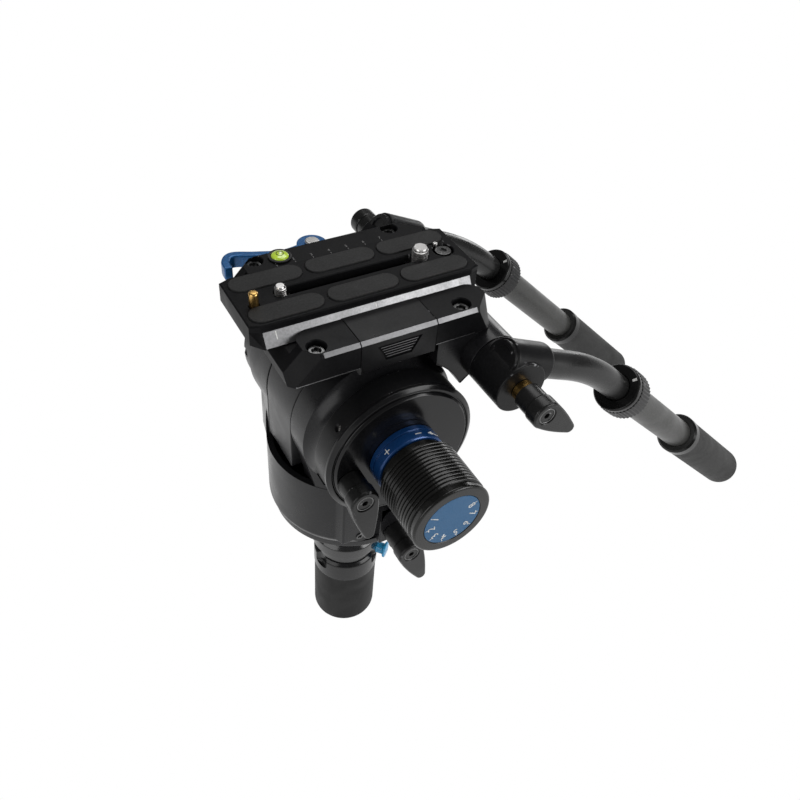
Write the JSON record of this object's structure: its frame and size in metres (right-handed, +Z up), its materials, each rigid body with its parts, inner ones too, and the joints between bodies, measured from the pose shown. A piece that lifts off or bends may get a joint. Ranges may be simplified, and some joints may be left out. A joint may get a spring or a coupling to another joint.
{
  "type": "fluid video head",
  "caption": "Fluid video head: half ball and tie-down, pan housing, side tilt drag with knob, sliding camera plate with two screws, and two bent telescoping handles with wing levers.",
  "frame": {"origin": "centre of the half ball, on the pan axis, in the plane of the base ring's underside", "axes": "+Z up along the pan axis, +X to the rear where the handles point, +Y to the far side away from the drag knob"},
  "size_m": [0.4087, 0.2281, 0.3282],
  "materials": {
    "black_anodised": "black anodised, fine satin grain",
    "gloss_black": "polished black, worn bright on the edges",
    "charcoal": "dark grey satin anodised",
    "black_tube": "smooth black semi-gloss",
    "grey_tube": "grey satin drawn tube",
    "blue_anodised": "bright blue anodised",
    "pale_blue": "pale blue printed disc",
    "steel": "turned and polished steel",
    "brass": "turned brass",
    "rubber": "matt rubber with a fine moulded texture",
    "vial": "clear vial with lime liquid"
  },
  "bodies": {
    "base": {"half_ball": "black_anodised", "base_ring": "charcoal", "pan_shaft": "steel", "tie_down_stud": "steel"},
    "tie_down": {"tie_down_cup": "gloss_black"},
    "tie_down_release": {"tie_down_button": "blue_anodised"},
    "tie_down_handle": {"tie_down_collar": "charcoal", "tie_down_grip": "rubber"},
    "pan": {"pan_housing": "black_anodised", "pan_bearing": "steel", "pan_cartridge": "charcoal", "tilt_bearing_near": "steel", "tilt_bearing_far": "steel", "drag_housing": "black_anodised", "drag_cartridge": "charcoal", "tilt_cover": "gloss_black", "drag_collar": "blue_anodised"},
    "pan_lock": {"pan_lock_lever": "gloss_black"},
    "tilt_lock": {"tilt_lock_lever": "gloss_black"},
    "tilt_drag": {"tilt_drag_knob": "gloss_black", "knob_inlay": "pale_blue"},
    "counterbalance": {"counterbalance_dial": "black_anodised"},
    "tilt": {"tilt_block": "black_anodised", "tilt_shaft": "steel", "platform": "black_anodised", "level_housing": "charcoal", "level_vial": "vial", "lock_lever_pivot": "steel", "handle_stud_near": "brass", "handle_stud_far": "brass"},
    "plate_lock": {"lock_lever": "blue_anodised"},
    "clamp": {"clamp_block": "black_anodised", "clamp_rod": "steel"},
    "plate": {"camera_plate": "black_anodised", "pad_near_1": "rubber", "pad_far_1": "rubber", "pad_near_2": "rubber", "pad_far_2": "rubber", "pad_near_3": "rubber", "pad_far_3": "rubber", "plate_stop_screw": "steel"},
    "rear_screw": {"camera_screw_rear": "steel"},
    "screw_slide": {"screw_washer": "steel"},
    "front_screw": {"camera_screw_front": "steel"},
    "pin": {"locating_pin": "brass"},
    "handle_near": {"handle_socket_near": "black_anodised", "bent_tube_near": "black_tube"},
    "handle_lock_near": {"handle_lever_near": "gloss_black"},
    "telescope_near": {"tube_end_cap_near": "gloss_black", "grip_tube_near": "grey_tube", "handle_grip_near": "rubber"},
    "twist_near": {"twist_ring_near": "charcoal"},
    "handle_far": {"handle_socket_far": "black_anodised", "bent_tube_far": "black_tube"},
    "handle_lock_far": {"handle_lever_far": "gloss_black"},
    "telescope_far": {"tube_end_cap_far": "gloss_black", "grip_tube_far": "grey_tube", "handle_grip_far": "rubber"},
    "twist_far": {"twist_ring_far": "charcoal"}
  },
  "joints": [
    {"name": "tie_down_travel", "type": "slide", "parent": "base", "child": "tie_down", "axis": [0, 0, 1], "range_m": [-0.018, 0.006]},
    {"name": "tie_down_button_press", "type": "slide", "parent": "tie_down", "child": "tie_down_release", "axis": [-0.6691, 0.7431, 0], "range_m": [0, 0.0015], "stiffness_N_per_m": 800, "springref_m": -0.0006},
    {"name": "tie_down_handle_turn", "type": "hinge", "parent": "tie_down", "child": "tie_down_handle", "pos_m": [0, 0, -0.07], "axis": [0, 0, 1], "continuous": true},
    {"name": "pan_turn", "type": "hinge", "parent": "base", "child": "pan", "pos_m": [0, 0, 0], "axis": [0, 0, 1], "continuous": true},
    {"name": "pan_lock_turn", "type": "hinge", "parent": "pan", "child": "pan_lock", "pos_m": [0.005, -0.06, 0.0165], "axis": [0, 1, 0], "range_deg": [-15, 45]},
    {"name": "tilt_lock_turn", "type": "hinge", "parent": "pan", "child": "tilt_lock", "pos_m": [-0.034, -0.07, 0.093], "axis": [0, 1, 0], "range_deg": [-10, 80]},
    {"name": "tilt_drag_turn", "type": "hinge", "parent": "pan", "child": "tilt_drag", "pos_m": [0, -0.09, 0.1], "axis": [0, 1, 0], "range_deg": [-150, 150]},
    {"name": "counterbalance_turn", "type": "hinge", "parent": "pan", "child": "counterbalance", "pos_m": [0, 0.054, 0.1], "axis": [0, 1, 0], "range_deg": [-150, 150]},
    {"name": "tilt_turn", "type": "hinge", "parent": "pan", "child": "tilt", "pos_m": [0, 0, 0.1], "axis": [0, -1, 0], "range_deg": [-50, 90]},
    {"name": "plate_lock_turn", "type": "hinge", "parent": "tilt", "child": "plate_lock", "pos_m": [0, 0.0575, 0.165], "axis": [0, 0, -1], "range_deg": [0, 90]},
    {"name": "clamp_travel", "type": "slide", "parent": "tilt", "child": "clamp", "axis": [0, -1, 0], "range_m": [0, 0.004]},
    {"name": "plate_travel", "type": "slide", "parent": "tilt", "child": "plate", "axis": [1, 0, 0], "range_m": [-0.035, 0.035]},
    {"name": "rear_screw_turn", "type": "hinge", "parent": "plate", "child": "rear_screw", "pos_m": [0.0413, 0, 0.18], "axis": [0, 0, 1], "continuous": true},
    {"name": "front_screw_travel", "type": "slide", "parent": "plate", "child": "screw_slide", "axis": [1, 0, 0], "range_m": [0, 0.065]},
    {"name": "front_screw_turn", "type": "hinge", "parent": "screw_slide", "child": "front_screw", "pos_m": [-0.0452, 0, 0.18], "axis": [0, 0, 1], "continuous": true},
    {"name": "pin_press", "type": "slide", "parent": "plate", "child": "pin", "axis": [0, 0, -1], "range_m": [0, 0.004], "stiffness_N_per_m": 300, "springref_m": -0.0008},
    {"name": "handle_turn_near", "type": "hinge", "parent": "tilt", "child": "handle_near", "pos_m": [0.0618, -0.071, 0.1422], "axis": [0, -1, 0], "range_deg": [-20, 75]},
    {"name": "handle_lock_turn_near", "type": "hinge", "parent": "tilt", "child": "handle_lock_near", "pos_m": [0.0618, -0.0994, 0.1422], "axis": [0, 1, 0], "range_deg": [-90, 90]},
    {"name": "telescope_travel_near", "type": "slide", "parent": "handle_near", "child": "telescope_near", "axis": [0.7278, 0, -0.6858], "range_m": [-0.012, 0.07]},
    {"name": "twist_turn_near", "type": "hinge", "parent": "telescope_near", "child": "twist_near", "pos_m": [0.1281, -0.071, 0.1225], "axis": [0.7278, 0, -0.6858], "range_deg": [-45, 45]},
    {"name": "handle_turn_far", "type": "hinge", "parent": "tilt", "child": "handle_far", "pos_m": [0.0618, 0.071, 0.1422], "axis": [0, -1, 0], "range_deg": [-20, 75]},
    {"name": "handle_lock_turn_far", "type": "hinge", "parent": "tilt", "child": "handle_lock_far", "pos_m": [0.0618, 0.0994, 0.1422], "axis": [0, 1, 0], "range_deg": [-90, 90]},
    {"name": "telescope_travel_far", "type": "slide", "parent": "handle_far", "child": "telescope_far", "axis": [0.7278, 0, -0.6858], "range_m": [-0.0058, 0.0762]},
    {"name": "twist_turn_far", "type": "hinge", "parent": "telescope_far", "child": "twist_far", "pos_m": [0.1281, 0.071, 0.1225], "axis": [0.7278, 0, -0.6858], "range_deg": [-45, 45]}
  ],
  "couplings": [
    {"joint": "clamp_travel", "follows": "plate_lock_turn", "m_per_rad": 0.002546}
  ]
}
